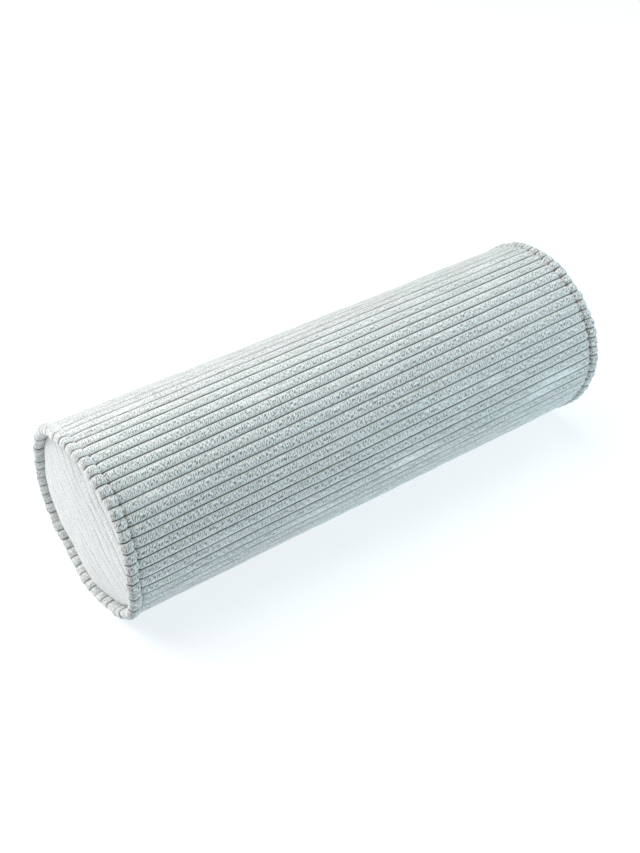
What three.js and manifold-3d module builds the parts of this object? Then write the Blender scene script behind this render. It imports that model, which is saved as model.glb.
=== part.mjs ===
// Bolster cushion in wide-wale corduroy, lying on its side. The barrel is one filled solid: its cloth
// runs over the filling, is drawn in by a line of topstitching near each end, and is turned over there
// into a soft rim. A round, domed end panel of the same cloth is sewn in behind each rim.
//
// Millimetres, +Z up. +X runs along the bolster, from its left end to its right end, and the front
// faces -Y. The origin is the middle of the flat strip that the cushion rests on.
// An angle round the barrel is counted from the top towards the front.

import * as THREE from "three";
import { mergeVertices } from "three/addons/utils/BufferGeometryUtils.js";
import Module from "manifold-3d";

const wasm = await Module();
wasm.setup();

// Driving dimensions
const BARREL_LENGTH = 450;
const BARREL_RADIUS = 77; // to the crests of the wales
const REST_DROP = 2.5; // how far the weight of the cushion flattens it underneath
const WALE_COUNT = 57; // round the barrel
const WALE_DEPTH = 2;
const WALE_TWIST = 7.6; // degrees that the wales turn towards the back from left to right
const FIRST_GROOVE = 0.2; // degrees round from the top, at the left end
const RIM_THICKNESS = 6.5;
const STITCH_INSET = 9.3; // from the end of the barrel to the topstitching
const STITCH_DIP = 3.1;
const RIM_FLARE = 1.9; // how far the puffed rim stands out over the barrel
const LEAN_FADE = 25; // length over which the lean of a rim dies away behind the stitching
const PANEL_THICKNESS = 3;
const PANEL_RECESS = 6; // from the end of the barrel in to the edge of the end panel
const PANEL_CROWN = 6.5; // the middle of the end panel over its edge
const PANEL_WALE_DEPTH = 1.2;
const LEFT_GRAIN = 47; // degrees from +Y towards +Z in which the wales of the left panel run
const RIGHT_GRAIN = 130;
const SEAM_GAP = 0.3; // between pieces that touch
const DOME_POWER = 3; // how flat the dome of a panel is in its middle
const DOME_RINGS = [0.45, 0.8]; // where the back of a panel bends, as shares of the recess's radius
const PANEL_STEPS = 12; // faces along the longest wale of a panel
const MIDDLE_INSET = 155; // from the end to a ring that keeps the turning wales straight
const MERGE_DISTANCE = 1e-4; // below which corners count as one

// Sizes that follow
const AXIS_HEIGHT = BARREL_RADIUS - REST_DROP;
const WALE_PITCH = (2 * Math.PI * BARREL_RADIUS) / WALE_COUNT;
const RECESS_RADIUS = BARREL_RADIUS - RIM_THICKNESS;
const RECESS_FLOOR = PANEL_RECESS + PANEL_THICKNESS + SEAM_GAP; // from the end of the barrel
const PANEL_RADIUS = RECESS_RADIUS - SEAM_GAP;
const PANEL_BACK_INSET = PANEL_RECESS + PANEL_THICKNESS;
const CUT_REACH = 2 * PANEL_CROWN; // how far the two bodies that a panel is cut from reach past it

// One wale in section, from groove to groove: the place across it and the share of its depth.
const WALE_SECTION = [
  { across: 0, sink: 1 },
  { across: 0.14, sink: 0.26 },
  { across: 0.5, sink: 0 },
  { across: 0.86, sink: 0.26 },
];

// The end of the barrel, from the foot of the recess over the rim to the plain barrel. inset is
// counted from the end and depth from the crests, groove is the share of the wales' depth, and
// facing is where the cloth faces: 0 along the axis, 90 away from it, -90 towards it.
const RIM_PROFILE = [
  { inset: RECESS_FLOOR, depth: RIM_THICKNESS, groove: 0, facing: -90 },
  { inset: 2.2, depth: RIM_THICKNESS, groove: 0.5, facing: -90 },
  { inset: 0, depth: RIM_THICKNESS / 2, groove: 0.8, facing: 0 },
  { inset: 0.7, depth: 0.2, groove: 0.8, facing: 45 },
  { inset: 3.6, depth: -RIM_FLARE, groove: 0.9, facing: 90 },
  { inset: STITCH_INSET - 1.5, depth: 0.6, groove: 0.8, facing: 90 },
  { inset: STITCH_INSET, depth: STITCH_DIP, groove: 0.3, facing: 90 },
  { inset: STITCH_INSET + 1.3, depth: 1.4, groove: 0.8, facing: 90 },
  { inset: STITCH_INSET + 5, depth: 0.2, groove: 1, facing: 90 },
  { inset: STITCH_INSET + 14, depth: 0, groove: 1, facing: 90 },
  { inset: MIDDLE_INSET, depth: 0, groove: 1, facing: 90 },
];

// How far each rim stands out of its end's plane, by the angle round it in degrees.
const RIM_LEAN = [
  { angle: 0, left: 2.3, right: 0 },
  { angle: 20, left: -0.6, right: 0.2 },
  { angle: 45, left: -2.2, right: 1.3 },
  { angle: 70, left: -1.2, right: 2.4 },
  { angle: 90, left: 1, right: 3.4 },
  { angle: 115, left: 0, right: 1.2 },
  { angle: 140, left: -3, right: 0.6 },
  { angle: 160, left: -1.8, right: 0.4 },
  { angle: 185, left: 0.7, right: 0 },
  { angle: 215, left: 0, right: 0.8 },
  { angle: 235, left: 1.5, right: 1 },
  { angle: 260, left: 2, right: 0.4 },
  { angle: 285, left: 0.9, right: 0 },
  { angle: 310, left: 0.8, right: -0.2 },
  { angle: 340, left: 3, right: -0.6 },
];

const LEFT_END = { name: "left", outward: -1, grain: LEFT_GRAIN };
const RIGHT_END = { name: "right", outward: 1, grain: RIGHT_GRAIN };

const corduroy = new THREE.MeshStandardMaterial({ color: 0xbcc6c7, roughness: 0.95, metalness: 0 });
const panelCorduroy = new THREE.MeshStandardMaterial({ color: 0xdde3e3, roughness: 0.95, metalness: 0 });

/** How far the rim of an end stands out at an angle in radians, eased from row to row. */
function leanAt(end, angle) {
  const degrees = THREE.MathUtils.euclideanModulo(THREE.MathUtils.radToDeg(angle), 360);
  const after = RIM_LEAN.findIndex((row) => row.angle > degrees);
  const next = after < 0 ? { ...RIM_LEAN[0], angle: 360 } : RIM_LEAN[after];
  const last = after < 0 ? RIM_LEAN.at(-1) : RIM_LEAN[after - 1];
  const share = THREE.MathUtils.smoothstep(degrees, last.angle, next.angle);
  return THREE.MathUtils.lerp(last[end.name], next[end.name], share);
}

/** The angle in radians at a place counted in wales from the first groove, some way along the barrel. */
function angleAt(wales, x) {
  const along = x / BARREL_LENGTH + 0.5;
  return THREE.MathUtils.degToRad(FIRST_GROOVE + (wales * 360) / WALE_COUNT - WALE_TWIST * along);
}

/** A point at an angle and radius round the axis, held up where it would reach below the surface. */
function onRound(x, angle, radius) {
  const z = AXIS_HEIGHT + radius * Math.cos(angle);
  return [x, -radius * Math.sin(angle), Math.max(0, z)];
}

/** One ring of the barrel's cloth at a row of the rim profile: four points to a wale. */
function waleRing(end, row) {
  const facing = THREE.MathUtils.degToRad(row.facing);
  const nominal = end.outward * (BARREL_LENGTH / 2 - row.inset);
  const fade = THREE.MathUtils.clamp(1 - (row.inset - STITCH_INSET) / LEAN_FADE, 0, 1);
  const ring = [];
  for (let wale = 0; wale < WALE_COUNT; wale += 1) {
    for (const { across, sink } of WALE_SECTION) {
      const angle = angleAt(wale + across, nominal);
      const fall = sink * WALE_DEPTH * row.groove;
      const inset = row.inset + fall * Math.cos(facing) - fade * leanAt(end, angle);
      const radius = BARREL_RADIUS - row.depth - fall * Math.sin(facing);
      ring.push(onRound(end.outward * (BARREL_LENGTH / 2 - inset), angle, radius));
    }
  }
  return ring;
}

/** A ring of the dome at the back of an end panel or under it, one point to a wale. */
function domeRing(end, radius, edgeInset) {
  const nominal = end.outward * (BARREL_LENGTH / 2 - edgeInset);
  return Array.from({ length: WALE_COUNT }, (_, wale) => {
    const angle = angleAt(wale, nominal);
    return onRound(domeX(end, radius, angle, edgeInset), angle, radius);
  });
}

/** Where a dome that meets its edge at an inset lies along the axis. It is flat in the middle. */
function domeX(end, radius, angle, edgeInset) {
  const share = radius / RECESS_RADIUS;
  const rise = PANEL_CROWN * (1 - share ** DOME_POWER) + leanAt(end, angle) * share;
  return end.outward * (BARREL_LENGTH / 2 - edgeInset + rise);
}

/** The triangles of a dome from its middle to a ring of points round its edge. */
function domeTriangles(end, edgeInset, edge) {
  const rings = [...DOME_RINGS.map((share) => domeRing(end, share * RECESS_RADIUS, edgeInset)), edge];
  const triangles = [];
  fan(triangles, onRound(domeX(end, 0, 0, edgeInset), 0, 0), rings[0]);
  for (let i = 1; i < rings.length; i += 1) {
    bridge(triangles, rings[i - 1], rings[i]);
  }
  return triangles;
}

/** Closes the space between two rings of points, of which the second has a whole multiple of the first. */
function bridge(triangles, coarse, fine) {
  const step = fine.length / coarse.length;
  coarse.forEach((point, i) => {
    const following = coarse[(i + 1) % coarse.length];
    for (let k = 0; k < step; k += 1) {
      const a = fine[i * step + k];
      const b = fine[(i * step + k + 1) % fine.length];
      triangles.push([point, a, b]);
    }
    triangles.push([point, fine[((i + 1) * step) % fine.length], following]);
  });
}

/** Closes a ring with a fan to one point. */
function fan(triangles, centre, ring) {
  ring.forEach((point, i) => triangles.push([centre, point, ring[(i + 1) % ring.length]]));
}

/** A closed geometry from triangles of points, turned so that its faces point out. */
function closedGeometry(triangles) {
  const corners = triangles.flat(2);
  const geometry = new THREE.BufferGeometry();
  geometry.setAttribute("position", new THREE.Float32BufferAttribute(corners, 3));
  const merged = mergeVertices(geometry, MERGE_DISTANCE);
  if (volumeOf(merged) < 0) {
    merged.index.array.reverse();
  }
  return merged;
}

/** The volume inside an indexed geometry, negative where its faces point in. */
function volumeOf(geometry) {
  const at = (i) => new THREE.Vector3().fromBufferAttribute(geometry.attributes.position, i);
  const index = geometry.index.array;
  let six = 0;
  for (let i = 0; i < index.length; i += 3) {
    six += at(index[i]).dot(at(index[i + 1]).cross(at(index[i + 2])));
  }
  return six / 6;
}

/** The filled barrel: the cloth from the floor of one recess to the floor of the other. */
function barrelGeometry() {
  const left = RIM_PROFILE.map((row) => waleRing(LEFT_END, row));
  const right = RIM_PROFILE.map((row) => waleRing(RIGHT_END, row)).reverse();
  const rings = [...left, ...right];
  const triangles = [];
  for (let i = 1; i < rings.length; i += 1) {
    bridge(triangles, rings[i - 1], rings[i]);
  }
  triangles.push(...domeTriangles(LEFT_END, RECESS_FLOOR, rings[0]));
  const rightFloor = domeTriangles(RIGHT_END, RECESS_FLOOR, rings.at(-1));
  rightFloor.forEach(([a, b, c]) => triangles.push([a, c, b]));
  return closedGeometry(triangles);
}

/** The room that an end panel fills: domed behind, round at the edge and open to the front. */
function panelRoom(end) {
  const front = end.outward * (BARREL_LENGTH / 2 + CUT_REACH);
  const edge = domeRing(end, PANEL_RADIUS, PANEL_BACK_INSET);
  const lip = edge.map(([, y, z]) => [front, y, z]);
  const triangles = domeTriangles(end, PANEL_BACK_INSET, edge);
  bridge(triangles, edge, lip);
  fan(triangles, [front, 0, AXIS_HEIGHT], lip.reverse());
  return closedGeometry(triangles);
}

/** A square of domed corduroy, larger than the panel, with its wales along the end's grain. */
function ribbedSquare(end) {
  const grain = THREE.MathUtils.degToRad(end.grain);
  const half = Math.ceil(PANEL_RADIUS / WALE_PITCH);
  const reach = (half + 0.5) * WALE_PITCH;
  const back = end.outward * (BARREL_LENGTH / 2 - RECESS_FLOOR - CUT_REACH);
  const lines = [];
  for (let wale = -half; wale <= half; wale += 1) {
    for (const { across, sink } of WALE_SECTION) {
      lines.push({ v: (wale + across - 0.5) * WALE_PITCH, fall: sink * PANEL_WALE_DEPTH });
    }
  }
  lines.push({ v: reach, fall: PANEL_WALE_DEPTH });
  const front = lines.map(({ v, fall }) =>
    Array.from({ length: PANEL_STEPS + 1 }, (_, i) => {
      const u = reach * ((2 * i) / PANEL_STEPS - 1);
      const y = u * Math.cos(grain) - v * Math.sin(grain);
      const rise = u * Math.sin(grain) + v * Math.cos(grain);
      const x = domeX(end, Math.hypot(y, rise), Math.atan2(-y, rise), PANEL_RECESS) - end.outward * fall;
      return [x, y, AXIS_HEIGHT + rise];
    }),
  );
  const behind = front.map((line) => line.map(([, y, z]) => [back, y, z]));
  const triangles = [];
  const quad = (a, b, c, d) => triangles.push([a, b, c], [a, c, d]);
  for (let k = 1; k < front.length; k += 1) {
    for (let i = 1; i <= PANEL_STEPS; i += 1) {
      quad(front[k - 1][i - 1], front[k - 1][i], front[k][i], front[k][i - 1]);
      quad(behind[k - 1][i - 1], behind[k][i - 1], behind[k][i], behind[k - 1][i]);
    }
    quad(front[k - 1][0], front[k][0], behind[k][0], behind[k - 1][0]);
    quad(front[k - 1].at(-1), behind[k - 1].at(-1), behind[k].at(-1), front[k].at(-1));
  }
  for (let i = 1; i <= PANEL_STEPS; i += 1) {
    quad(front[0][i - 1], behind[0][i - 1], behind[0][i], front[0][i]);
    quad(front.at(-1)[i - 1], front.at(-1)[i], behind.at(-1)[i], behind.at(-1)[i - 1]);
  }
  return closedGeometry(triangles);
}

/** A closed geometry as a solid that can be cut. */
function solidOf(geometry) {
  const vertProperties = geometry.attributes.position.array;
  const triVerts = new Uint32Array(geometry.index.array);
  return new wasm.Manifold(new wasm.Mesh({ numProp: 3, vertProperties, triVerts }));
}

/** A cut solid as a geometry. */
function geometryOf(solid) {
  const mesh = solid.getMesh();
  const geometry = new THREE.BufferGeometry();
  geometry.setAttribute("position", new THREE.BufferAttribute(mesh.vertProperties, mesh.numProp));
  geometry.setIndex(new THREE.BufferAttribute(mesh.triVerts, 1));
  return geometry;
}

/** An end panel: ribbed cloth cut round to fit its recess. */
function panelGeometry(end) {
  return geometryOf(solidOf(ribbedSquare(end)).intersect(solidOf(panelRoom(end))));
}

/** A named piece with its own material. */
function piece(name, geometry, material) {
  geometry.computeVertexNormals();
  const mesh = new THREE.Mesh(geometry, material.clone());
  mesh.name = name;
  return mesh;
}

const bolster = new THREE.Group();
bolster.add(piece("barrel", barrelGeometry(), corduroy));
for (const end of [LEFT_END, RIGHT_END]) {
  bolster.add(piece(`end_panel_${end.name}`, panelGeometry(end), panelCorduroy));
}

// The leaning rims reach unequally far, so the cushion is centred on the box round it.
const middle = new THREE.Box3().setFromObject(bolster, true).getCenter(new THREE.Vector3());
bolster.position.set(-middle.x, -middle.y, 0);

export default bolster;
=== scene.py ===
"""Bolster cushion in pale wide-wale corduroy: its finished cloth, a pale floor and soft studio light.

The barrel's cloth runs over the filling, is drawn in by topstitching near each end and is turned over
there into a soft rim. A round, domed panel of the same cloth is sewn in behind each rim. +X runs along
the bolster from its left end to its right end, the front faces -Y, and the floor is at z = 0.
An angle round the barrel is counted from the top towards the front.
"""

import logging
import math
from dataclasses import dataclass, replace
from enum import Enum
from functools import cached_property

import bpy
import numpy as np
from bpy.types import Material, Node, NodeSocket, NodeTree, Object
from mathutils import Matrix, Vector
from mathutils.bvhtree import BVHTree


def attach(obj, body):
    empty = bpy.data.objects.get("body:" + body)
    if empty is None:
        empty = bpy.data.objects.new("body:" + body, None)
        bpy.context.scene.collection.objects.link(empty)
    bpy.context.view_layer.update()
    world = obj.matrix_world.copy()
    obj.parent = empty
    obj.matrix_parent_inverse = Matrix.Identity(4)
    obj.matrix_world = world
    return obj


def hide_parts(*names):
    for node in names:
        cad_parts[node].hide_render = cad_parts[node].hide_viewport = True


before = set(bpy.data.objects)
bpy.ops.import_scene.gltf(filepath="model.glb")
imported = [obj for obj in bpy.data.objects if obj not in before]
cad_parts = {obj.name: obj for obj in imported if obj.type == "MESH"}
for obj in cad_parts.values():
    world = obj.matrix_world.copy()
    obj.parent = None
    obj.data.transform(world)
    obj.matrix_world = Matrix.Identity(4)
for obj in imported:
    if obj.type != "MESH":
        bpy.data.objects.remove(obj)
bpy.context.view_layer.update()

LOG = logging.getLogger("bolster")
MM = 0.001
FULL_TURN = 2 * math.pi
UV_NAME = "cloth"
BRUSHED_AND_PAINTED_LIGHT_NAME = "brushed"
Array = np.ndarray
Pair = tuple[float, float]
Triple = tuple[float, float, float]
Input = Node | NodeSocket | float | tuple


class End(Enum):
    """The two ends of the bolster, each with the direction in which it faces along X."""

    LEFT = -1
    RIGHT = 1


@dataclass(frozen=True)
class WaleSection:
    """One wale in section: a round crown, and half a narrow slot at either side of it."""

    crown_radius: float
    slot_width: float
    slot_depth: float
    slot_curve: float = 1.5  # over 1, the slot's lips are rounded

    def fall(self, across: Array, pitch: float) -> Array:
        """Works out how far the surface lies below the crest.

        Args:
            across: Places across the wales, in wales, with a slot at each whole number.
            pitch: The width of a wale, in metres.

        Returns:
            The depth, in metres.
        """
        aside = np.abs((across % 1) - 0.5) * pitch
        crown = self.crown_radius - np.sqrt(self.crown_radius**2 - aside**2)
        into_slot = np.clip(1 - (pitch / 2 - aside) / (self.slot_width / 2), 0, 1)
        return crown + self.slot_depth * into_slot**self.slot_curve


@dataclass(frozen=True)
class Streak:
    """A stretch of cloth whose pile is brushed flat: its wale from the first groove, and its ends' x."""

    wale: float
    start_mm: float
    end_mm: float
    strength: float


# The turned rim in section, from the foot of the recess behind it, over its front and the topstitching,
# to the barrel: how far each row lies in from the end of the barrel and how far inwards from its radius,
# both in millimetres, and the share of the wales' depth there
RIM_ROWS = np.array([
    (9.3, 6.5, 0.5), (5.0, 6.6, 0.8), (2.0, 6.3, 0.9), (0.4, 5.1, 0.9), (-0.1, 3.3, 0.9),
    (0.3, 1.4, 1.0), (1.3, -0.5, 1.1), (3.0, -1.4, 1.2), (4.9, -1.4, 1.3), (6.8, -1.1, 1.4),
    (8.4, -0.8, 1.8), (9.3, -0.6, 2.3), (10.2, -0.6, 1.9), (12.0, -0.6, 1.3), (14.8, -0.6, 1.05),
    (18.5, -0.7, 1.0), (23.3, -0.7, 1.0),
])

# At each angle in degrees, how far the left and the right rim stand out, in millimetres
LEAN_ROWS = np.array([
    (0, 2.3, 0.0), (20, -0.6, 0.2), (45, -2.2, 1.3), (70, -1.2, 2.4), (90, 1.0, 3.4), (115, 0.0, 1.2),
    (140, -3.0, 0.6), (160, -1.8, 0.4), (185, 0.7, 0.0), (215, 0.0, 0.8), (235, 1.5, 1.0),
    (260, 2.0, 0.4), (285, 0.9, 0.0), (310, 0.8, -0.2), (340, 3.0, -0.6),
])

# At each angle, how tightly the topstitching draws in the left and the right end, from 0 to 1
PULL_ROWS = np.array([
    (0, 0.3, 0.5), (30, 0.6, 0.65), (60, 0.8, 0.75), (80, 0.5, 0.75), (100, 0.3, 0.6), (130, 0.3, 0.5),
    (200, 0.5, 0.5), (300, 0.4, 0.4),
])

# The brushed streaks that the photo shows
STREAKS = (
    Streak(15.4, -5, 50, 1.0),
    Streak(15.4, 145, 180, 1.0),
    Streak(14.5, 160, 205, 0.9),
    Streak(11.5, 100, 120, 0.7),
    Streak(16.3, -105, -45, 0.5),
    Streak(3.5, -102, -75, 0.6),
    Streak(-1.3, -192, -155, 0.6),
)


def smooth_curve(rows: Array, steps: int) -> Array:
    """Runs a smooth curve through a table's rows.

    Args:
        rows: The rows.
        steps: How many points to set from one row to the next.

    Returns:
        The points.
    """
    padded = np.vstack([2 * rows[0] - rows[1], rows, 2 * rows[-1] - rows[-2]])
    t = np.linspace(0, 1, steps, endpoint=False)[:, None]
    parts = []
    for a, b, c, d in zip(padded, padded[1:], padded[2:], padded[3:]):
        square = 2 * a - 5 * b + 4 * c - d
        cube = 3 * b - a - 3 * c + d
        parts.append(0.5 * (2 * b + (c - a) * t + square * t**2 + cube * t**3))
    return np.vstack([*parts, rows[-1:]])


def eased_round(rows: Array, outward: Array | int, angle: Array) -> Array:
    """Reads a table round the ends, eased from row to row.

    Args:
        rows: The table, whose first row is at angle 0.
        outward: -1 at the left end and 1 at the right one.
        angle: Angles round the barrel, in radians.

    Returns:
        The value at each angle.
    """
    places = np.append(rows[:, 0], 360)
    values = np.vstack([rows[:, 1:], rows[:1, 1:]])
    degrees = np.degrees(angle) % 360
    after = np.clip(np.searchsorted(places, degrees, side="right"), 1, len(rows))
    share = (degrees - places[after - 1]) / (places[after] - places[after - 1])
    column = np.where(np.less(outward, 0), 0, 1)
    low, high = values[after - 1, column], values[after, column]
    return low + (high - low) * (share * share * (3 - 2 * share))


def wale_number(wales: Array) -> Array:
    """Counts in which wale each place lies, where one just short of a groove is in the next."""
    return np.floor(wales + 1e-6).astype(int)


@dataclass(frozen=True)
class BolsterSizes:
    """The driving dimensions of the bolster, in metres and degrees."""

    length: float = 450 * MM
    radius: float = 77 * MM  # to the crests of the wales
    rest_drop: float = 2.5 * MM  # how far its own weight flattens it underneath
    wale_count: int = 57
    wale: WaleSection = WaleSection(crown_radius=10 * MM, slot_width=1.1 * MM, slot_depth=1.3 * MM)
    wale_twist: float = 7.6  # that the wales turn towards the back from left to right
    first_groove: float = 0.2  # round from the top, at the left end
    rim_thickness: float = 6.5 * MM
    stitch_inset: float = 9.3 * MM  # from the end of the barrel to the topstitching
    lean_fade: float = 25 * MM  # over which the lean of a rim dies away behind the stitching
    panel_recess: float = 6 * MM  # from the end of the barrel in to the edge of the panel
    panel_thickness: float = 3 * MM
    panel_crown: float = 6.5 * MM
    seam_gap: float = 0.3 * MM
    centring_x: float = -0.21 * MM  # the leaning rims reach unequally far

    @property
    def axis_height(self) -> float:
        """The height of the barrel's axis over the floor."""
        return self.radius - self.rest_drop

    @property
    def wale_pitch(self) -> float:
        """The width of one wale with its groove, measured round the crests."""
        return FULL_TURN * self.radius / self.wale_count

    @property
    def recess_radius(self) -> float:
        """The inner radius of the turned rim."""
        return self.radius - self.rim_thickness

    @property
    def panel_back(self) -> float:
        """How far in from the end of the barrel the edge of the panel's back lies."""
        return self.panel_recess + self.panel_thickness

    def angle(self, wales: Array, x: Array) -> Array:
        """Turns places counted in wales from the first groove into angles.

        Args:
            wales: Places round the barrel, in wales.
            x: Places along the axis, in metres from the middle.

        Returns:
            The angles, in radians.
        """
        along = x / self.length + 0.5
        return np.radians(self.first_groove + wales * 360 / self.wale_count - self.wale_twist * along)


@dataclass
class Unevenness:
    """Slow, seeded waves along and across the cloth, which is never quite even."""

    seed: int
    wale_count: int  # round the barrel, after which the waves repeat
    sheet_waves: int = 7
    most_turns: int = 9  # that a sheet's wave winds round the barrel
    waves_each: int = 4

    @cached_property
    def random(self) -> np.random.Generator:
        """The random draws."""
        return np.random.default_rng(self.seed)

    def sheet(self, along: Array, wales: Array, lengths_mm: Pair) -> Array:
        """Draws a wavy sheet, about 1 high, that closes round the barrel.

        Args:
            along: Places along the cloth, in metres.
            wales: Places across it, in wales.
            lengths_mm: The shortest and the longest wave along the cloth.

        Returns:
            The height at each place.
        """
        total = np.zeros(np.broadcast(along, wales).shape)
        for _ in range(self.sheet_waves):
            length = self.random.uniform(*lengths_mm) * MM
            turns = self.random.integers(-self.most_turns, self.most_turns + 1)
            phase = self.random.uniform(0, FULL_TURN)
            total += np.sin(FULL_TURN * (along / length + turns * wales / self.wale_count) + phase)
        return total / math.sqrt(self.sheet_waves)

    def each_wale(self, along: Array, wales: Array, lengths_mm: Pair) -> Array:
        """Draws waves along the cloth that differ from wale to wale, about 1 high.

        Args:
            along: Places along the cloth, in metres.
            wales: Places across it, in wales.
            lengths_mm: The shortest and the longest wave.

        Returns:
            The height at each place.
        """
        number = wale_number(wales) % self.wale_count
        total = np.zeros(np.broadcast(along, wales).shape)
        for _ in range(self.waves_each):
            length = self.random.uniform(*lengths_mm, self.wale_count)[number] * MM
            phase = self.random.uniform(0, FULL_TURN, self.wale_count)[number]
            total += np.sin(FULL_TURN * along / length + phase)
        return total / math.sqrt(self.waves_each)


def add_mesh(name: str, points: Array, faces: list[tuple], uv: Array, brushed: Array) -> Object:
    """Makes a smooth mesh object at the origin.

    Args:
        name: The piece's name.
        points: Its vertices, one row each, in metres.
        faces: Its faces, as vertex numbers.
        uv: One pair for each corner of each face, in order.
        brushed: How far the pile is drawn paler at each vertex, from 0 to 1: where it is brushed flat, with
            painted sheen, and where a highlight and light are painted.

    Returns:
        The object, linked to the scene.
    """
    mesh = bpy.data.meshes.new(name)
    mesh.from_pydata(points.tolist(), [], faces)
    layer = mesh.uv_layers.new(name=UV_NAME)
    layer.data.foreach_set("uv", uv.astype(np.float32).ravel())
    # How far the pile is paler: brushed flat with painted sheen, and painted highlight and light
    layer = mesh.attributes.new(BRUSHED_AND_PAINTED_LIGHT_NAME, "FLOAT", "POINT")
    layer.data.foreach_set("value", brushed.astype(np.float32))
    mesh.shade_smooth()
    mesh.update()
    piece = bpy.data.objects.new(name, mesh)
    bpy.context.scene.collection.objects.link(piece)
    return piece


class ClothPiece:
    """What the cushion's pieces of cloth share: each is padded and stands for one solid of the frame."""

    node = ""  # the solid that it stands for
    slot = ""  # that solid's material slot
    fill = 0.9  # how tightly the filling fills it

    def dress(self, piece: Object, cloth: Material) -> None:
        """Turns a piece's faces out, gives it its cloth, hangs it under the root body, hides the solid of
        the frame that it stands for and reports it.

        Args:
            piece: The closed piece.
            cloth: Its material.
        """
        bpy.ops.object.select_all(action="DESELECT")
        bpy.context.view_layer.objects.active = piece
        piece.select_set(True)
        bpy.ops.object.mode_set(mode="EDIT")
        bpy.ops.mesh.select_all(action="SELECT")
        bpy.ops.mesh.normals_make_consistent(inside=False)
        bpy.ops.object.mode_set(mode="OBJECT")
        piece.select_set(False)
        piece.data.materials.append(cloth)
        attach(piece, "root")
        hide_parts(self.node)
        piece.data.calc_loop_triangles()
        LOG.info("%s: %d triangles", piece.name, len(piece.data.loop_triangles))


@dataclass
class Filling:
    """The filled form inside the cloth, blown up by a cloth simulation between its stitches."""

    sizes: BolsterSizes
    slack: float = 0.8 * MM  # how much smaller the form starts, and the most that it may swell
    facets: int = 96
    voxel: float = 6 * MM
    pressure: float = 4.0
    frames: int = 20
    held: float = 5 * MM  # on either side of the topstitching

    def _form(self) -> Object:
        """Makes the plain filled form, a little too small, and meshes it evenly.

        Returns:
            The form.
        """
        bpy.ops.object.select_all(action="DESELECT")
        bpy.ops.mesh.primitive_cylinder_add(
            vertices=self.facets,
            radius=self.sizes.radius - self.slack,
            depth=self.sizes.length,
            location=(0, 0, 0),
            rotation=(0, math.pi / 2, 0),
        )
        form = bpy.context.object
        bpy.ops.object.transform_apply()
        form.data.remesh_voxel_size = self.voxel
        bpy.ops.object.voxel_remesh()
        return form

    def _simulate(self, form: Object) -> None:
        """Swells the form, held where the topstitching goes round it.

        Args:
            form: The meshed form.
        """
        group = form.vertex_groups.new(name="held")
        stitched = self.sizes.length / 2 - self.sizes.stitch_inset
        rows = [v.index for v in form.data.vertices if abs(abs(v.co.x) - stitched) < self.held]
        group.add(rows, 1.0, "REPLACE")
        cloth = form.modifiers.new("cloth", "CLOTH")
        cloth.settings.use_pressure = True
        cloth.settings.uniform_pressure_force = self.pressure
        cloth.settings.vertex_group_mass = "held"
        cloth.settings.effector_weights.gravity = 0
        cloth.point_cache.frame_end = self.frames
        scene = bpy.context.scene
        for number in range(1, self.frames + 1):
            scene.frame_set(number)
        bpy.ops.object.modifier_apply(modifier="cloth")
        scene.frame_set(1)

    def blown_up(self) -> BVHTree:
        """Blows the form up.

        Returns:
            Its surface, round the X axis.
        """
        form = self._form()
        start = np.array([v.co for v in form.data.vertices])
        self._simulate(form)
        moved = np.array([v.co for v in form.data.vertices]) - start
        reach = np.linalg.norm(moved, axis=1, keepdims=True)
        capped = start + moved * np.minimum(1, self.slack / np.maximum(reach, 1e-9))
        form.data.vertices.foreach_set("co", capped.astype(np.float32).ravel())
        form.data.update()
        surface = BVHTree.FromObject(form, bpy.context.evaluated_depsgraph_get())
        bpy.data.meshes.remove(form.data)
        return surface


@dataclass(frozen=True)
class Rings:
    """The rings of the barrel's cloth from its left foot to its right foot, one entry each.

    outward is -1 on the left half and 1 on the right one. x runs along the axis and along runs over the
    cloth. inset, depth and groove are as in the rim's rows, in metres, and crease is 1 at the
    topstitching. axial and radial are the parts of the cloth's outward normal along its end's direction
    and away from the axis.
    """

    outward: Array
    x: Array
    inset: Array
    depth: Array
    crease: Array
    groove: Array
    axial: Array
    radial: Array
    along: Array

    @property
    def on_front(self) -> Array:
        """How far each ring lies on the front or the inner wall of a rim, from 0 to 1."""
        return np.clip(1 - 2 * self.radial, 0, 1)


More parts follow.
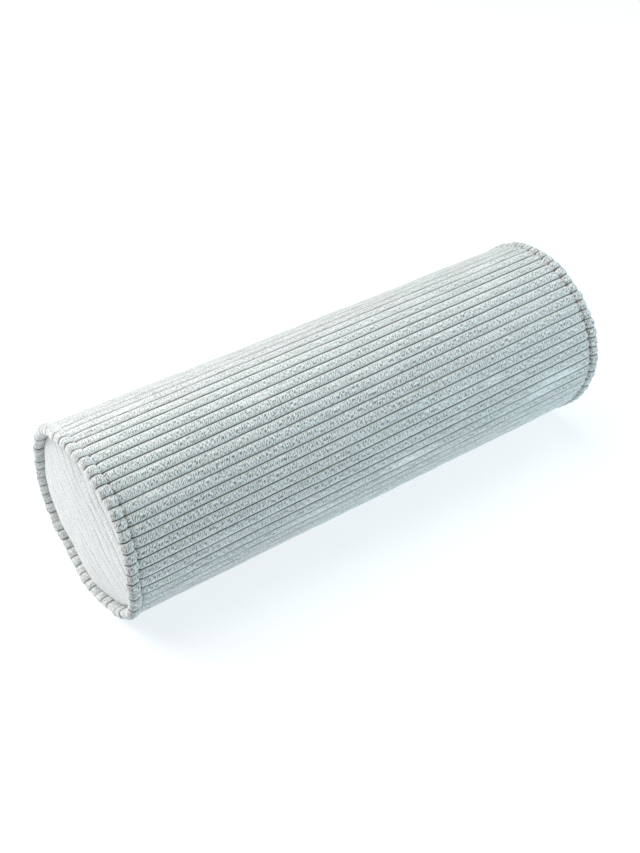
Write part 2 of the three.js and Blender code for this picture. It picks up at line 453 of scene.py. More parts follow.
@dataclass
class Barrel(ClothPiece):
    """The barrel's cloth: wales along the bolster, drawn in and turned over at either end."""

    node = "barrel"
    slot = "barrel_corduroy"

    sizes: BolsterSizes
    name: str = "barrel_cloth"
    across: tuple[float, ...] = (0, 0.02, 0.045, 0.08, 0.22, 0.5, 0.78, 0.92, 0.955, 0.98)  # of a wale
    curve_steps: int = 24
    rim_step: float = 1.25 * MM  # between the rings of cloth
    crease_step: float = 0.35 * MM
    crease_rings: int = 4  # at that step, on either side of the topstitching
    crease_width: float = 0.8 * MM
    crease_depth: float = 2.2 * MM
    barrel_step: float = 4.4 * MM
    filling_columns: int = 96  # at which the filling's shape is read round each ring
    stray: float = 0.012  # of a wale, that the grooves stray sideways
    stray_mm: Pair = (40, 160)  # the shortest and the longest wave of that
    swell: float = 0.12 * MM  # that the wales rise and fall along their length
    swell_mm: Pair = (15, 90)
    sag: float = 0.15 * MM  # that the whole barrel's surface is uneven
    sag_mm: Pair = (60, 300)
    finger_puff: float = 0.4 * MM  # by which the wales on the rim differ
    finger_fade: float = 2 * MM
    rim_merge: float = 0.9  # of the grooves' depth, that is lost at most on the front of the rims
    random_streaks: int = 90
    streak_starts: Pair = (-0.5, 0.45)  # of the length, from the middle
    streak_mm: Pair = (20, 60)
    streak_strengths: Pair = (0.1, 0.4)
    streak_width: float = 0.4  # of a wale
    streak_reach: float = 1.3  # over 1, the middle of a streak is even
    finger_rub_and_painted_light: Pair = (0.7, 1.2)  # by which the brushing and painted light of the rim's wales differ
    rim_rub_and_painted_light: float = 1.0  # painted light on the front of the rims, over pile partly brushed flat there
    rim_rub_and_painted_light_angle: float = 55.0  # of the side where that painted light and brushing are strongest, and of the side opposite
    rim_rub_and_painted_light_least: float = 0.95  # of that, between the two sides
    right_rim_rub_and_painted_light: float = 0.1  # painted light round the right rim, over pile partly brushed flat there
    right_rim_rub_and_painted_light_reach: float = 1.5  # times the topstitching's inset, how far in that goes
    top_painted_highlight: float = 0.7  # painted highlight along the top, at the left end
    top_fades: float = 0.85  # the share of that lost by the right end
    top_angle: float = -12.0
    top_spread: float = 35.0
    seed: int = 11

    @cached_property
    def uneven(self) -> Unevenness:
        """The seeded unevenness of its shape."""
        return Unevenness(self.seed, self.sizes.wale_count)

    @cached_property
    def wales(self) -> Array:
        """The places of the columns of cloth, in wales."""
        return (np.arange(self.sizes.wale_count)[:, None] + np.array(self.across)).ravel()

    def _rim(self) -> dict[str, Array]:
        """Runs a smooth curve through the rim's rows and picks the rings on it.

        Returns:
            The values of Rings but outward and x, from the foot of the recess on.
        """
        curve = smooth_curve(RIM_ROWS * (MM, MM, 1), self.curve_steps)
        steps = np.linalg.norm(np.diff(curve[:, :2], axis=0), axis=1)
        along = np.append(0, np.cumsum(steps))
        from_stitches = np.abs(curve[:, 0] - self.sizes.stitch_inset)
        crease = along[np.argmin(np.where(along > along[-1] / 2, from_stitches, 1))]
        coarse = np.linspace(0, along[-1], int(along[-1] / self.rim_step) + 1)
        fine = crease + self.crease_step * np.arange(-self.crease_rings, self.crease_rings + 1)
        apart = np.min(np.abs(coarse[:, None] - fine), axis=1)
        picked = np.sort(np.append(coarse[apart > self.rim_step / 3], fine))
        inset, depth, groove = (np.interp(picked, along, column) for column in curve.T)
        slope = np.gradient(np.stack([inset, depth]), picked, axis=1)
        size = np.hypot(*slope)
        return {
            "inset": inset,
            "depth": depth,
            "crease": np.exp(-(((picked - crease) / self.crease_width) ** 2)),
            "groove": groove,
            "axial": -slope[1] / size,
            "radial": slope[0] / size,
            "along": picked,
        }

    @cached_property
    def rings(self) -> Rings:
        """Lists the rings of cloth from the left foot over the barrel to the right foot.

        Returns:
            The rings.
        """
        rim = self._rim()
        plain = self.sizes.length - 2 * rim["inset"][-1]
        middle = np.linspace(0, plain, round(plain / self.barrel_step) + 1)[1:-1]
        left = middle < plain / 2
        still = np.zeros_like(middle)
        between = {
            "inset": rim["inset"][-1] + np.where(left, middle, plain - middle),
            "depth": still + rim["depth"][-1],
            "crease": still,
            "groove": still + 1,
            "axial": still,
            "radial": still + 1,
        }
        up = rim["along"]
        values = {key: np.r_[rim[key], row, rim[key][::-1]][:, None] for key, row in between.items()}
        outward = np.r_[-np.ones_like(up), np.where(left, -1, 1), np.ones_like(up)][:, None]
        x = outward * (self.sizes.length / 2 - values["inset"])
        along = np.r_[up, up[-1] + middle, 2 * up[-1] + plain - up[::-1]][:, None]
        return Rings(outward=outward, x=x, along=along, **values)

    def _shortfall(self, surface: BVHTree, angle: Array) -> Array:
        """Reads how far the filling falls short of the barrel's radius.

        Args:
            surface: The blown-up filling.
            angle: The angle of each ring and column.

        Returns:
            The shortfall at each ring and column, in metres.
        """
        rings, count = self.rings, self.filling_columns
        turns = FULL_TURN * np.arange(count) / count
        ways = [Vector((0, -math.sin(turn), math.cos(turn))) for turn in turns]
        read = np.zeros((len(rings.x), count))
        for i in np.flatnonzero(rings.inset > self.sizes.stitch_inset):
            hits = [surface.ray_cast(Vector((rings.x[i, 0], 0, 0)), way)[0] for way in ways]
            read[i] = [max(0, self.sizes.radius - math.hypot(hit.y, hit.z)) if hit else 0 for hit in hits]
        place = (angle / FULL_TURN * count) % count
        low = np.floor(place).astype(int) % count
        share = place - np.floor(place)
        row = np.arange(len(read))[:, None]
        return read[row, low] * (1 - share) + read[row, (low + 1) % count] * share

    def _groove_shift(self) -> Array:
        """Moves each groove a little of its own way, and what lies between two grooves with both.

        Returns:
            The shift at each ring and column, in wales.
        """
        count = self.sizes.wale_count
        shifts = self.uneven.each_wale(self.rings.along, np.arange(count), self.stray_mm)
        first = wale_number(self.wales)
        share = self.wales - first
        return self.stray * (shifts[:, first % count] * (1 - share) + shifts[:, (first + 1) % count] * share)

    def _fall(self, angle: Array) -> Array:
        """Works out how far the cloth lies below the crests: wales, crease, fingers and waves.

        Args:
            angle: The angle of each ring and column.

        Returns:
            The depth at each ring and column, in metres.
        """
        sizes, rings, wales, uneven = self.sizes, self.rings, self.wales, self.uneven
        count = sizes.wale_count
        puff = uneven.random.normal(0, 1, count)[wale_number(wales)]
        merge = uneven.random.uniform(0, self.rim_merge, count)
        section = sizes.wale.fall(wales, sizes.wale_pitch)
        crest = 1 - section / section.max()
        kept = 1 - rings.on_front * merge[np.round(wales).astype(int) % count]
        pull = eased_round(PULL_ROWS, rings.outward, angle)
        on_rim = np.clip((sizes.stitch_inset - rings.inset) / self.finger_fade, 0, 1)
        fall = section * rings.groove * kept + self.crease_depth * pull * rings.crease
        fall += crest * self.swell * uneven.each_wale(rings.along, wales, self.swell_mm)
        fall -= on_rim * self.finger_puff * crest * np.clip(puff, -1, 1)
        return fall + self.sag * uneven.sheet(rings.along, wales, self.sag_mm)

    def _points(self, surface: BVHTree) -> Array:
        """Works out where the cloth lies, held up where it would reach below the floor.

        Args:
            surface: The blown-up filling.

        Returns:
            The points by ring and column.
        """
        sizes, rings = self.sizes, self.rings
        angle = sizes.angle(self.wales + self._groove_shift(), rings.x)
        fall = self._fall(angle)
        fade = np.clip(1 - (rings.inset - sizes.stitch_inset) / sizes.lean_fade, 0, 1)
        lean = fade * eased_round(LEAN_ROWS, rings.outward, angle) * MM
        reach = sizes.length / 2 - rings.inset - fall * rings.axial + lean
        radius = sizes.radius - rings.depth - fall * rings.radial - self._shortfall(surface, angle)
        z = np.maximum(0, sizes.axis_height + radius * np.cos(angle))
        return np.stack([rings.outward * reach + sizes.centring_x, -radius * np.sin(angle), z], axis=-1)

    def _streaks(self, draw: np.random.Generator) -> Array:
        """Brushes the streaks that show in the wales, and some random fainter ones.

        Args:
            draw: The random draws.

        Returns:
            How far the pile is brushed at each ring and column.
        """
        count, length_mm = self.sizes.wale_count, self.sizes.length / MM
        streaks = list(STREAKS)
        for _ in range(self.random_streaks):
            start = draw.uniform(*self.streak_starts) * length_mm
            end = start + draw.uniform(*self.streak_mm)
            streaks.append(Streak(draw.uniform(0, count), start, end, draw.uniform(*self.streak_strengths)))
        total = 0
        for streak in streaks:
            middle, half = (streak.start_mm + streak.end_mm) / 2, (streak.end_mm - streak.start_mm) / 2
            along = np.clip(self.streak_reach - np.abs(self.rings.x / MM - middle) / half, 0, 1)
            apart = (self.wales - streak.wale + count / 2) % count - count / 2
            total = total + streak.strength * along * np.exp(-((apart / self.streak_width) ** 2))
        return total

    def _brushed_and_painted_light(self) -> Array:
        """Works out where the pile is brushed flat in streaks, and where light is painted on it: on the
        rims, over pile partly brushed flat, and as a highlight along the top.

        Returns:
            The brushing and painted light at each ring and column, from 0 to 1.
        """
        sizes, rings, wales = self.sizes, self.rings, self.wales
        draw = np.random.default_rng(self.seed + 1)
        total = self._streaks(draw)
        # Painted light on the front of the rims and round the right rim, over pile that is partly brushed
        # flat there
        fingers = draw.uniform(*self.finger_rub_and_painted_light, sizes.wale_count)[wale_number(wales)]
        turned = sizes.angle(wales, 0) - math.radians(self.rim_rub_and_painted_light_angle)
        facing = np.maximum(np.cos(turned) ** 2, self.rim_rub_and_painted_light_least)
        total += self.rim_rub_and_painted_light * rings.on_front * fingers * facing
        near_rim = np.clip(self.right_rim_rub_and_painted_light_reach - rings.inset / sizes.stitch_inset, 0, 1)
        total += self.right_rim_rub_and_painted_light * (rings.outward > 0) * near_rim * fingers
        # Painted highlight along the top, strongest at the left end
        from_top = (np.degrees(sizes.angle(wales, rings.x)) - self.top_angle + 180) % 360 - 180
        along_top = 1 - self.top_fades * (0.5 + rings.x / sizes.length)
        total += self.top_painted_highlight * along_top * np.exp(-((from_top / self.top_spread) ** 2))
        return np.clip(total, 0, 1)

    def build(self, surface: BVHTree) -> Object:
        """Builds the closed cloth.

        Args:
            surface: The blown-up filling.

        Returns:
            The piece.
        """
        sizes, wales, along = self.sizes, self.wales, self.rings.along
        points = self._points(surface)
        index = np.arange(points[..., 0].size).reshape(points.shape[:2])
        turned = np.roll(index, -1, axis=1)
        quads = np.stack([index[:-1], index[1:], turned[1:], turned[:-1]], axis=-1)
        faces = [tuple(face) for face in quads.reshape(-1, 4).tolist()]
        next_wales = np.append(wales[1:], sizes.wale_count)
        u0, u1, v0, v1 = np.broadcast_arrays(along[:-1] / MM, along[1:] / MM, wales, next_wales)
        uv = np.stack([u0, v0, u1, v0, u1, v1, u0, v1], axis=-1).reshape(-1, 2)
        flat = points.reshape(-1, 3)
        middles, cap_uv = [], []
        for end, ring in ((End.LEFT, index[0]), (End.RIGHT, index[-1])):
            reach = sizes.length / 2 - sizes.panel_back - sizes.seam_gap + sizes.panel_crown
            middles.append((end.value * reach + sizes.centring_x, 0, sizes.axis_height))
            centre = len(flat) + len(middles) - 1
            for k, (a, b) in enumerate(zip(ring.tolist(), np.roll(ring, -1).tolist())):
                faces.append((centre, a, b) if end is End.LEFT else (centre, b, a))
                cap_uv += [(0, wales[k]), (0, wales[k]), (0, next_wales[k])]
        brushed = np.append(self._brushed_and_painted_light(), [0, 0])
        return add_mesh(self.name, np.vstack([flat, middles]), faces, np.vstack([uv, cap_uv]), brushed)


@dataclass
class EndPanel(ClothPiece):
    """A domed round of corduroy behind one rim, with its wales straight across it."""

    slot = "panel_corduroy"

    sizes: BolsterSizes
    end: End
    grain: float  # degrees from +Y towards +Z in which its wales run
    wale: WaleSection = WaleSection(crown_radius=18 * MM, slot_width=0.9 * MM, slot_depth=0.4 * MM)
    dome_power: float = 3.0  # over 2, the dome is flatter in the middle than a ball
    lines: int = 420  # along the wales
    last_line: float = 88.5  # where they end, in degrees round from the middle line
    along_line: int = 70  # steps along each
    edge_roll: float = 1.6 * MM  # how far the cloth dips into the seam round it
    roll_width: float = 3.5 * MM
    edge_wales: float = 0.4  # of the wales' depth, that is left in the seam
    stray: float = 0.11  # of a wale, that the grooves stray sideways
    stray_mm: Pair = (30, 120)  # the shortest and the longest wave of that
    stray_turns: int = 3  # how much closer together these waves lie across the cloth
    sag: float = 0.25 * MM
    sag_mm: Pair = (40, 110)
    sag_turns: int = 2
    seed: int = 23

    @property
    def name(self) -> str:
        """The piece's name."""
        return f"{self.end.name.lower()}_panel_cloth"

    @property
    def node(self) -> str:
        """The solid that it stands for."""
        return f"end_panel_{self.end.name.lower()}"

    @property
    def radius(self) -> float:
        """The panel's radius, clear of the rim round it."""
        return self.sizes.recess_radius - self.sizes.seam_gap

    def _lean(self, y: Array, z: Array) -> Array:
        """How far the rim stands out of its end's plane in the direction of each place."""
        return eased_round(LEAN_ROWS, self.end.value, np.arctan2(-y, z)) * MM

    def build(self) -> Object:
        """Builds the closed panel: its ribbed front, its turned edge and a plain back.

        Returns:
            The piece.
        """
        sizes = self.sizes
        uneven = Unevenness(self.seed + self.end.value, sizes.wale_count)
        steep = np.radians(np.linspace(-self.last_line, self.last_line, self.lines))[:, None]
        u = self.radius * np.cos(steep) * np.linspace(-1, 1, self.along_line + 1)
        v = np.broadcast_to(self.radius * np.sin(steep), u.shape)
        grain = math.radians(self.grain)
        y = u * math.cos(grain) - v * math.sin(grain)
        z = u * math.sin(grain) + v * math.cos(grain)
        wales = v / sizes.wale_pitch + 0.5
        stray = self.stray * uneven.sheet(u, wales * self.stray_turns, self.stray_mm)
        from_edge = np.clip((self.radius - np.hypot(y, z)) / self.roll_width, 0, 1)
        roll = self.edge_roll * (1 - from_edge) ** 2
        fall = self.wale.fall(wales + stray, sizes.wale_pitch) * np.minimum(1, self.edge_wales + from_edge)
        fall = fall + self.sag * uneven.sheet(u, wales * self.sag_turns, self.sag_mm)
        out = np.hypot(y, z) / sizes.recess_radius
        rise = sizes.panel_crown * (1 - out**self.dome_power) + self._lean(y, z) * out
        reach = sizes.length / 2 - sizes.panel_recess + rise - roll - fall
        front = np.stack([self.end.value * reach + sizes.centring_x, y, z + sizes.axis_height], axis=-1)
        return self._close(front, np.stack([u / MM, wales + stray], axis=-1))

    def _close(self, front: Array, uv: Array) -> Object:
        """Closes the front behind with a turned edge and a plain back.

        Args:
            front: The points of the front, by line and place.
            uv: Their places in the cloth.

        Returns:
            The piece.
        """
        sizes = self.sizes
        index = np.arange(front[..., 0].size).reshape(front.shape[:2])
        border = np.concatenate([index[0, :-1], index[:-1, -1], index[-1, :0:-1], index[:0:-1, 0]])
        flat, flat_uv = front.reshape(-1, 3), uv.reshape(-1, 2)
        edge = flat[border].copy()
        lean = self._lean(edge[:, 1], edge[:, 2] - sizes.axis_height)
        back = sizes.length / 2 - sizes.panel_back
        edge[:, 0] = self.end.value * (back + lean) + sizes.centring_x
        crown = self.end.value * (back + sizes.panel_crown) + sizes.centring_x
        points = np.vstack([flat, edge, [(crown, 0, sizes.axis_height)]])
        quads = np.stack([index[:-1, :-1], index[:-1, 1:], index[1:, 1:], index[1:, :-1]], axis=-1)
        behind = len(flat) + np.arange(len(border))
        following = np.roll(behind, -1)
        sides = np.stack([np.roll(border, -1), border, behind, following], axis=-1)
        faces = [tuple(face) for face in np.vstack([quads.reshape(-1, 4), sides]).tolist()]
        centre = len(points) - 1
        faces += [(centre, b, a) for a, b in zip(behind.tolist(), following.tolist())]
        places = np.vstack([flat_uv, flat_uv[border], [(0, 0.5)]])
        corners = np.concatenate([np.array(face) for face in faces])
        return add_mesh(self.name, points, faces, places[corners], np.zeros(len(points)))


def linear(hex_colour: str) -> tuple[float, ...]:
    """Turns an sRGB hex colour into Blender's linear colour.

    Args:
        hex_colour: Six hexadecimal digits.

    Returns:
        Red, green, blue and an alpha of 1.
    """
    shares = [int(hex_colour[k : k + 2], 16) / 255 for k in (0, 2, 4)]
    red, green, blue = (s / 12.92 if s <= 0.04045 else ((s + 0.055) / 1.055) ** 2.4 for s in shares)
    return red, green, blue, 1.0


MULTIPLY = {"operation": "MULTIPLY"}
SMOOTH = {"interpolation_type": "SMOOTHSTEP"}
COLOURS = {"data_type": "RGBA"}


@dataclass(frozen=True)
class Corduroy:
    """Wide-wale cotton corduroy, woven, cut and brushed up: pile in wales on a plain ground weave.

    Lengths that end in _mm are in millimetres on the cloth. Real tufts stand about 0.4 mm apart, too
    fine for a picture of the whole bolster, so the rows and the flecks are drawn about twice as coarse,
    the finest that still shows. A pair of numbers is the span of a pattern, about 0.5 in its middle, or
    of a wale, from its middle, over which an effect fades in or out.
    """

    name: str
    pile: str  # the lit tips of the pile
    shade: str  # painted shade in the gaps between the tufts
    brushed: str  # where the pile is brushed flat, drawn paler as painted sheen, and for the painted highlight and painted light
    ground: str  # the ground weave in the grooves: its own brown-grey, drawn darker as painted shade
    pitch_mm: float
    row_mm: float = 0.72  # spacing of the rows of tufts along a wale
    tuft_mm: float = 2.2  # length of a tuft's mark across the wale
    lean: float = 0.4  # how far the tufts lean along the wale for each step across it
    lean_drift: float = 0.6  # more or less than that, from patch to patch
    fleck_mm: float = 0.6
    fleck_share: float = 0.25
    gaps: Pair = (0.37, 0.575)  # pile heights up to which painted shade darkens the gaps between tufts
    contrast: float = 0.93
    drift_mm: float = 30.0  # length of the patches in which the pile stands more or less open
    patches: Pair = (0.3, 0.6)
    patch_least: float = 0.75  # of the marks, in the closest patches
    crown: Pair = (0.1, 0.45)  # over which the marks fade
    flank: float = 0.4  # how much of the marks is left beside the grooves
    beside: Pair = (0.2, 0.48)  # over which painted shade darkens the pile beside the grooves
    flank_painted_shade: float = 0.2
    wear_mm: float = 7.0  # size of the patches in the brushed streaks
    wear_stretch: float = 3.0  # how much longer than wide they are
    worn: Pair = (0.35, 0.6)
    worn_shares: Pair = (0.5, 1.0)  # of the brushing and painted light, in and out of these patches
    flattened: float = 0.35  # of the relief, where the pile is brushed flat and where light is painted
    slot_mm: float = 0.6  # half the width of the dark groove
    slot_core: float = 0.45  # of that, fully dark
    slot_parts: Pair = (0.4, 0.55)
    slot_fades: float = 0.0  # how far the grooves close up in places
    slot_under_brushing_and_painted_light: float = 0.5  # of a groove, where the pile is brushed over it and where light is painted
    depth_mm: float = 0.9  # of the relief
    sheen: float = 1.0
    sheen_roughness: float = 0.5
    roughness: float = 0.9
    gloss: float = 0.2

    def make(self) -> Material:
        """Makes the material.

        Returns:
            The material.
        """
        material = bpy.data.materials.new(self.name)
        material.use_nodes = True
        material.node_tree.nodes.clear()
        nodes = ClothNodes(self, material.node_tree)
        relief = nodes.add("Math", nodes.height, nodes.open_pile, **MULTIPLY)
        named = {
            "Base Color": nodes.colour.outputs[2],
            "Roughness": self.roughness,
            "Specular IOR Level": self.gloss,
            "Sheen Weight": self.sheen,
            "Sheen Roughness": self.sheen_roughness,
            "Normal": nodes.add("Bump", named={"Distance": self.depth_mm * MM, "Height": relief}),
        }
        nodes.add("OutputMaterial", nodes.add("BsdfPrincipled", named=named))
        return material


@dataclass
class ClothNodes:
    """The nodes of a corduroy's material. Each part that has a name is made when it is first needed."""

    cloth: Corduroy
    tree: NodeTree

    def add(self, kind: str, *inputs: Input, named: dict | None = None, **settings: str | bool) -> Node:
        """Adds a node with its settings, values and links.

        Args:
            kind: The node's type, after the word ShaderNode.
            *inputs: Values, output sockets, or nodes to link from by their first output, in order.
            named: More of them by the name or number of the input.
            **settings: The node's properties.

        Returns:
            The node.
        """
        node = self.tree.nodes.new(f"ShaderNode{kind}")
        for name, value in settings.items():
            setattr(node, name, value)
        for key, value in (*enumerate(inputs), *(named or {}).items()):
            source = value.outputs[0] if isinstance(value, Node) else value
            if isinstance(source, NodeSocket):
                self.tree.links.new(source, node.inputs[key])
            else:
                node.inputs[key].default_value = source
        return node

    def noise(self, along: Input, across: Input, size: Pair, detail: float = 0.0) -> Node:
        """Adds noise on the cloth.

        Args:
            along: Millimetres along the cloth.
            across: The place across it.
            size: The size of the noise along the cloth and across it.
            detail: How much finer noise it carries.

        Returns:
            The noise, about 0.5.
        """
        u = self.add("Math", along, size[0], operation="DIVIDE")
        v = self.add("Math", across, size[1], operation="DIVIDE")
        place = self.add("CombineXYZ", u, v)
        return self.add("TexNoise", place, named={"Scale": 1.0, "Detail": detail})

    @cached_property
    def place(self) -> list[NodeSocket]:
        """Millimetres along the cloth and wales across it, from its own UV map."""
        return self.add("SeparateXYZ", self.add("UVMap", uv_map=UV_NAME)).outputs[:2]

    @cached_property
    def across(self) -> Node:
        """Millimetres across the cloth."""
        return self.add("Math", self.place[1], self.cloth.pitch_mm, **MULTIPLY)

    @cached_property
    def centred(self) -> Node:
        """The place within a wale, from -0.5 to 0.5."""
        within = self.add("Math", self.place[1], operation="FRACT")
        return self.add("Math", within, 0.5, operation="SUBTRACT")

    @cached_property
    def aside(self) -> Node:
        """The same to either side, from 0 to 0.5."""
        return self.add("Math", self.centred, operation="ABSOLUTE")

    @cached_property
    def drift(self) -> Node:
        """Slow noise that differs from wale to wale, about 0.5."""
        return self.noise(*self.place, (self.cloth.drift_mm, 1.0), detail=2.0)

    @cached_property
    def brushed(self) -> Node:
        """Reads how far the pile is brushed flat and paled by painted sheen, highlight and light, and wears
        that away in patches.

        Returns:
            The share, from 0 to 1.
        """
        cloth = self.cloth
        streaks = self.add("Attribute", attribute_name=BRUSHED_AND_PAINTED_LIGHT_NAME, attribute_type="GEOMETRY")
        size = (cloth.wear_mm, cloth.wear_mm / cloth.wear_stretch)
        wear = self.noise(self.place[0], self.across, size, detail=1.0)
        thin = self.add("MapRange", wear, *cloth.worn, *cloth.worn_shares, **SMOOTH)
        return self.add("Math", streaks.outputs["Fac"], thin, **MULTIPLY)

    @cached_property
    def height(self) -> Node:
        """Works out how high the pile stands: leaning rows of tufts with finer flecks on them.

        Returns:
            The height, about 0.5.
        """
        cloth = self.cloth
        stepped = self.add("Math", self.centred, cloth.pitch_mm, **MULTIPLY)
        leans = (cloth.lean - cloth.lean_drift, cloth.lean + cloth.lean_drift)
        lean = self.add("MapRange", self.drift, 0.0, 1.0, *leans)
        askew = self.add("Math", stepped, lean, self.place[0], operation="MULTIPLY_ADD")
        tufts = self.noise(askew, self.across, (cloth.row_mm, cloth.tuft_mm))
        flecks = self.noise(askew, self.across, (cloth.fleck_mm, cloth.fleck_mm))
        return self.add("Mix", cloth.fleck_share, named={2: tufts, 3: flecks})

    @cached_property
    def open_pile(self) -> Node:
        """Works out how far the pile stands open, less beside the grooves, where it is brushed and where
        light is painted.

        Returns:
            The share, from 0 to 1.
        """
        on_crown = self.add("MapRange", self.aside, *self.cloth.crown, 1.0, self.cloth.flank, **SMOOTH)
        raised = self.add("MapRange", self.brushed, 0.0, 1.0, 1.0, self.cloth.flattened)
        return self.add("Math", on_crown, raised, **MULTIPLY)

    @cached_property
    def pile(self) -> Node:
        """Colours the pile: pale tips, paler where it is brushed flat with painted sheen and where a
        highlight and light are painted, and painted shade in the gaps between tufts and beside the grooves.

        Returns:
            The colour.
        """
        cloth = self.cloth
        # Painted shade in the gaps between tufts
        gaps = self.add("MapRange", self.height, *cloth.gaps, cloth.contrast, 0.0, **SMOOTH)
        patchy = self.add("MapRange", self.drift, *cloth.patches, cloth.patch_least, 1.0)
        shown = self.add("Math", gaps, self.open_pile, **MULTIPLY)
        # Painted shade on the flanks beside the grooves
        beside = self.add("MapRange", self.aside, *cloth.beside, 0.0, cloth.flank_painted_shade, **SMOOTH)
        painted_shade = self.add("Math", shown, patchy, beside, operation="MULTIPLY_ADD", use_clamp=True)
        # Paler where the pile is brushed flat, with painted sheen, and where a highlight and light are
        # painted
        tips = {6: linear(cloth.pile), 7: linear(cloth.brushed)}
        tone = self.add("Mix", self.brushed, named=tips, **COLOURS)
        return self.add("Mix", painted_shade, named={6: tone.outputs[2], 7: linear(cloth.shade)}, **COLOURS)

    @cached_property
    def colour(self) -> Node:
        """Lets the ground weave show in the grooves as its own brown-grey drawn darker with painted shade,
        less where they close up, are brushed over and lie under painted light.

        Returns:
            The cloth's colour.
        """
        cloth = self.cloth
        half = cloth.slot_mm / cloth.pitch_mm
        edge = (0.5 - half, 0.5 - half * cloth.slot_core)
        # The grooves: the ground weave's own brown-grey, drawn darker as painted shade
        slot = self.add("MapRange", self.aside, *edge, 0.0, 1.0, **SMOOTH)
        uncovered = self.add("MapRange", self.brushed, 0.0, 1.0, 1.0, cloth.slot_under_brushing_and_painted_light)
        parted = self.add("MapRange", self.drift, *cloth.slot_parts, 1.0 - cloth.slot_fades, 1.0)
        seen = self.add("Math", uncovered, parted, **MULTIPLY)
        dark = self.add("Math", slot, seen, **MULTIPLY)
        return self.add("Mix", dark, named={6: self.pile.outputs[2], 7: linear(cloth.ground)}, **COLOURS)


@dataclass(frozen=True)
class SoftBox:
    """A large square lamp that points at the middle of the bolster."""

    name: str
    place: Triple
    size: float
    power: float
    colour: Triple
    aim: Triple = (0.0, 0.0, 0.08)

    def hang(self) -> None:
        """Hangs the lamp in the studio."""
        data = bpy.data.lights.new(self.name, "AREA")
        data.size = self.size
        data.energy = self.power
        data.color = self.colour
        lamp = bpy.data.objects.new(self.name, data)
        bpy.context.scene.collection.objects.link(lamp)
        lamp.location = self.place
        lamp.rotation_euler = (Vector(self.aim) - Vector(self.place)).to_track_quat("-Z", "Y").to_euler()


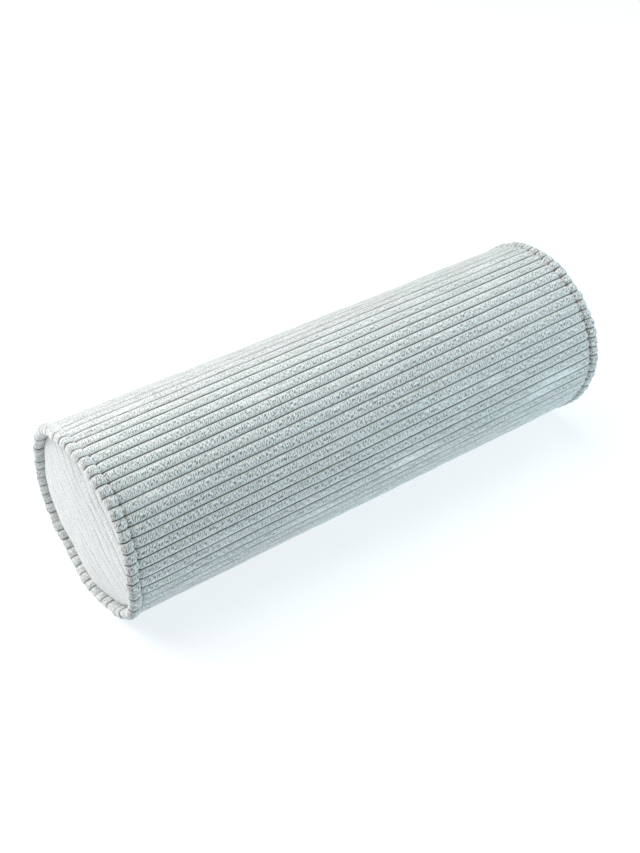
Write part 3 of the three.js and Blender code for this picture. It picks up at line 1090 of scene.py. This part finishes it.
@dataclass
class Studio:
    """A plain pale floor and wall, soft light and the camera, in metres and degrees."""

    floor_size: float = 14.0
    floor_colour: str = "a2a8ae"
    floor_glow: float = 0.68  # keeps the floor near white round the cushion's soft shadow
    floor_glow_colour: tuple[float, ...] = (0.985, 1.0, 1.0, 1.0)
    wall_radius: float = 6.9
    wall_height: float = 9.0
    wall_glow: float = 0.72
    wall_facets: int = 96
    roughness: float = 0.9
    camera_place: Triple = (-0.4364, -0.6020, 0.6652)
    camera_azimuth: float = -35.25
    camera_elevation: float = 39.07
    lens: float = 49.084  # in millimetres, as is the sensor
    sensor: float = 36.0
    boxes: tuple[SoftBox, ...] = (
        SoftBox("top", (-0.2, 0.4, 1.8), 1.6, 23.8, (1.0, 0.953, 0.93)),
        SoftBox("top_left", (-1.2, 0.5, 1.4), 1.0, 5.2, (1.0, 0.965, 0.93)),
        SoftBox("top_front", (0.0, -0.9, 1.6), 1.2, 4.4, (1.0, 1.0, 1.0)),
        SoftBox("left_back", (-0.8, 0.7, 0.8), 0.6, 7.4, (1.0, 1.0, 0.99)),
        SoftBox("back", (0.1, 1.7, 0.9), 1.6, 3.6, (0.93, 0.97, 1.0)),
        SoftBox("back_low", (0.3, 1.9, 0.35), 0.8, 7.0, (0.86, 0.96, 1.0)),
        SoftBox("front_right", (1.3, -1.0, 0.5), 0.8, 16.8, (0.66, 0.9, 1.0)),
        SoftBox("right", (1.7, 0.2, 0.8), 1.0, 6.2, (0.84, 0.95, 1.0)),
    )
    room_light: float = 0.05
    room_colour: Triple = (0.95, 0.98, 1.0)

    def build(self) -> None:
        """Sets up the floor, the wall, the lights, the camera and how colours are shown."""
        self._floor()
        self._wall()
        for box in self.boxes:
            box.hang()
        self._room_light()
        self._camera()
        bpy.context.scene.view_settings.view_transform = "Standard"

    def _stage(self, name: str, paint: str, colour: tuple, glow_colour: tuple, glow: float) -> None:
        """Names and paints the piece just added.

        Args:
            name: Its name.
            paint: The name of its matt material.
            colour: The material's own colour.
            glow_colour: The colour in which it glows.
            glow: How strongly it glows.
        """
        piece = bpy.context.object
        piece.name = name
        material = bpy.data.materials.new(paint)
        material.use_nodes = True
        sockets = material.node_tree.nodes["Principled BSDF"].inputs
        sockets["Base Color"].default_value = colour
        sockets["Roughness"].default_value = self.roughness
        sockets["Specular IOR Level"].default_value = 0.0
        sockets["Emission Color"].default_value = glow_colour
        sockets["Emission Strength"].default_value = glow
        piece.data.materials.append(material)

    def _floor(self) -> None:
        """Lays the floor: white paper, matt and even, so that only the soft shadow shows on it."""
        bpy.ops.mesh.primitive_plane_add(size=self.floor_size, location=(0, 0, 0))
        colour = linear(self.floor_colour)
        self._stage("floor", "white_paper", colour, self.floor_glow_colour, self.floor_glow)

    def _wall(self) -> None:
        """Puts a matt white wall all round, far outside the lamps. It is seen but lights nothing."""
        bpy.ops.mesh.primitive_cylinder_add(
            vertices=self.wall_facets,
            radius=self.wall_radius,
            depth=self.wall_height,
            end_fill_type="NOTHING",
            location=(0, 0, self.wall_height / 2),
        )
        for ray in ("diffuse", "glossy", "shadow", "transmission"):
            setattr(bpy.context.object, f"visible_{ray}", False)
        self._stage("wall", "matt_white_wall", linear("000000"), linear("ffffff"), self.wall_glow)

    def _room_light(self) -> None:
        """Fills the room with a little even light."""
        world = bpy.data.worlds.new("studio")
        bpy.context.scene.world = world
        world.use_nodes = True
        background = world.node_tree.nodes["Background"]
        background.inputs[0].default_value = (*self.room_colour, 1)
        background.inputs[1].default_value = self.room_light

    def _camera(self) -> None:
        """Places the camera, level and looking down at the bolster."""
        data = bpy.data.cameras.new("camera")
        data.lens = self.lens
        data.sensor_width = self.sensor
        camera = bpy.data.objects.new("camera", data)
        bpy.context.scene.collection.objects.link(camera)
        camera.location = self.camera_place
        pitch = math.radians(90 - self.camera_elevation)
        camera.rotation_euler = (pitch, 0, math.radians(self.camera_azimuth))
        bpy.context.scene.camera = camera


def main() -> None:
    """Builds the cushion and the studio in order."""
    logging.basicConfig(level=logging.INFO, format="%(message)s")
    sizes = BolsterSizes()
    # Cotton corduroy with its pile brushed up round the barrel: soft and matt, mottled by painted shade in
    # the gaps between its tufts and beside its grooves, with a brown-grey ground weave, drawn darker as
    # painted shade, that draws the grooves as dark lines; paler where brushed flat, with painted sheen, a
    # painted highlight along the top and painted light on the rims
    barrel_cloth = Corduroy(
        "cotton_corduroy_barrel", pile="dde4e2", shade="3e4647", brushed="f0f3f3", ground="5a5436",
        pitch_mm=sizes.wale_pitch / MM,
    )
    # The same cotton corduroy stretched over the ends, its pile pressed flat: smoother, with short faint
    # marks and thin grooves that close up in places, and drawn paler, with fainter painted shade, as painted
    # light on the ends
    panel_cloth = replace(
        barrel_cloth, name="cotton_corduroy_panel", pile="f0f3f3", shade="6c7475", ground="5b5953",
        row_mm=0.9, tuft_mm=1.3, fleck_share=0.4, contrast=0.55, drift_mm=18.0, flank=0.7, flank_painted_shade=0.08,
        slot_mm=0.5, slot_core=0.3, slot_parts=(0.38, 0.62), slot_fades=0.75, depth_mm=0.5,
    )
    barrel = Barrel(sizes)
    barrel.dress(barrel.build(Filling(sizes).blown_up()), barrel_cloth.make())
    panel_material = panel_cloth.make()
    for panel in (EndPanel(sizes, End.LEFT, grain=47.0), EndPanel(sizes, End.RIGHT, grain=130.0)):
        panel.dress(panel.build(), panel_material)
    Studio().build()


if __name__ == "__main__":
    main()
